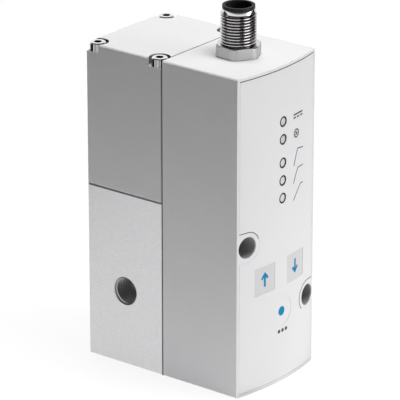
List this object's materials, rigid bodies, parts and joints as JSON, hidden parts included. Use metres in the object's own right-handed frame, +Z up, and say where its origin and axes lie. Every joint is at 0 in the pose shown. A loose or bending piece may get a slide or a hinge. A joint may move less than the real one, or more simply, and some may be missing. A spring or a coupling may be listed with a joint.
{
  "type": "electro pneumatic regulator",
  "caption": "Proportional pressure regulator: valve block with threaded air ports, pilot cover on top, electronics housing with bulged key panel and round threaded connector.",
  "frame": {"origin": "middle of the bottom of the housings", "axes": "+Z up, towards the connector; -Y towards the operator's panel; +X to the right seen from the front"},
  "size_m": [0.042, 0.066, 0.1292],
  "materials": {
    "blasted_aluminium": "glass bead blasted",
    "housing_plastic": "fine grained moulding, light grey",
    "panel_plastic": "satin pale grey",
    "key_plastic": "satin grey",
    "lens_plastic": "clear grey lens",
    "black_plastic": "matt black",
    "rubber": "matt black",
    "steel": "zinc plated",
    "nickel_plate": "nickel plated",
    "brass": "turned",
    "copper": "enamelled copper wire",
    "board_laminate": "green solder mask",
    "flat_lead": "amber film"
  },
  "bodies": {
    "housing": {"valve_body": "blasted_aluminium", "pilot_block": "blasted_aluminium", "pilot_cover": "housing_plastic", "electronics_housing": "housing_plastic", "front_cover": "panel_plastic", "lamp_1": "lens_plastic", "lamp_2": "lens_plastic", "lamp_3": "lens_plastic", "lamp_4": "lens_plastic", "lamp_5": "lens_plastic", "contact_carrier": "black_plastic", "lamp_spacer": "black_plastic", "up_switch": "black_plastic", "down_switch": "black_plastic", "round_switch": "black_plastic", "board_headers": "black_plastic", "seat_o_ring": "rubber", "guide_o_ring": "rubber", "body_gasket": "rubber", "seam_gasket": "rubber", "sensor_o_ring": "rubber", "connector_seal": "rubber", "poppet_spring": "steel", "corner_screws": "steel", "pilot_block_screws": "steel", "feed_plug": "steel", "feed_yoke": "steel", "feed_core": "steel", "feed_spring": "steel", "vent_yoke": "steel", "vent_core": "steel", "vent_spring": "steel", "housing_screws": "steel", "pressure_sensor": "steel", "board_screws": "steel", "connector_nut": "steel", "connector_shell": "nickel_plate", "valve_seat": "brass", "contact_pins": "brass", "sensor_leads": "brass", "feed_coil": "copper", "vent_coil": "copper", "circuit_board": "board_laminate", "connector_board": "board_laminate", "connector_flex": "flat_lead", "pilot_flex": "flat_lead"},
    "up_button": {"up_key": "key_plastic", "up_stem": "key_plastic"},
    "down_button": {"down_key": "key_plastic", "down_stem": "key_plastic"},
    "round_button": {"round_key": "panel_plastic", "round_stem": "key_plastic"},
    "control_piston": {"piston": "blasted_aluminium", "piston_o_ring": "rubber"},
    "inlet_poppet": {"poppet": "brass", "poppet_facing": "rubber"},
    "feed_plunger": {"feed_armature": "steel"},
    "vent_plunger": {"vent_armature": "steel"}
  },
  "joints": [
    {"name": "up_key_press", "type": "slide", "parent": "housing", "child": "up_button", "axis": [0, 1, 0], "range_m": [0, 0.0004], "stiffness_N_per_m": 500},
    {"name": "down_key_press", "type": "slide", "parent": "housing", "child": "down_button", "axis": [0, 1, 0], "range_m": [0, 0.0004], "stiffness_N_per_m": 500},
    {"name": "round_key_press", "type": "slide", "parent": "housing", "child": "round_button", "axis": [0, 1, 0], "range_m": [0, 0.0004], "stiffness_N_per_m": 500},
    {"name": "piston_stroke", "type": "slide", "parent": "housing", "child": "control_piston", "axis": [0, 0, -1], "range_m": [0, 0.0015]},
    {"name": "poppet_stroke", "type": "slide", "parent": "housing", "child": "inlet_poppet", "axis": [0, 0, -1], "range_m": [0, 0.0015], "stiffness_N_per_m": 900, "springref_m": -0.002, "deforming": ["poppet_spring"]},
    {"name": "feed_lift", "type": "slide", "parent": "housing", "child": "feed_plunger", "axis": [0, 0, 1], "range_m": [0, 0.0004], "stiffness_N_per_m": 400, "springref_m": -0.001, "deforming": ["feed_spring"]},
    {"name": "vent_lift", "type": "slide", "parent": "housing", "child": "vent_plunger", "axis": [0, 0, 1], "range_m": [0, 0.0004], "stiffness_N_per_m": 400, "springref_m": -0.001, "deforming": ["vent_spring"]}
  ],
  "couplings": [
    {"joint": "poppet_stroke", "follows": "piston_stroke", "ratio": 1}
  ]
}
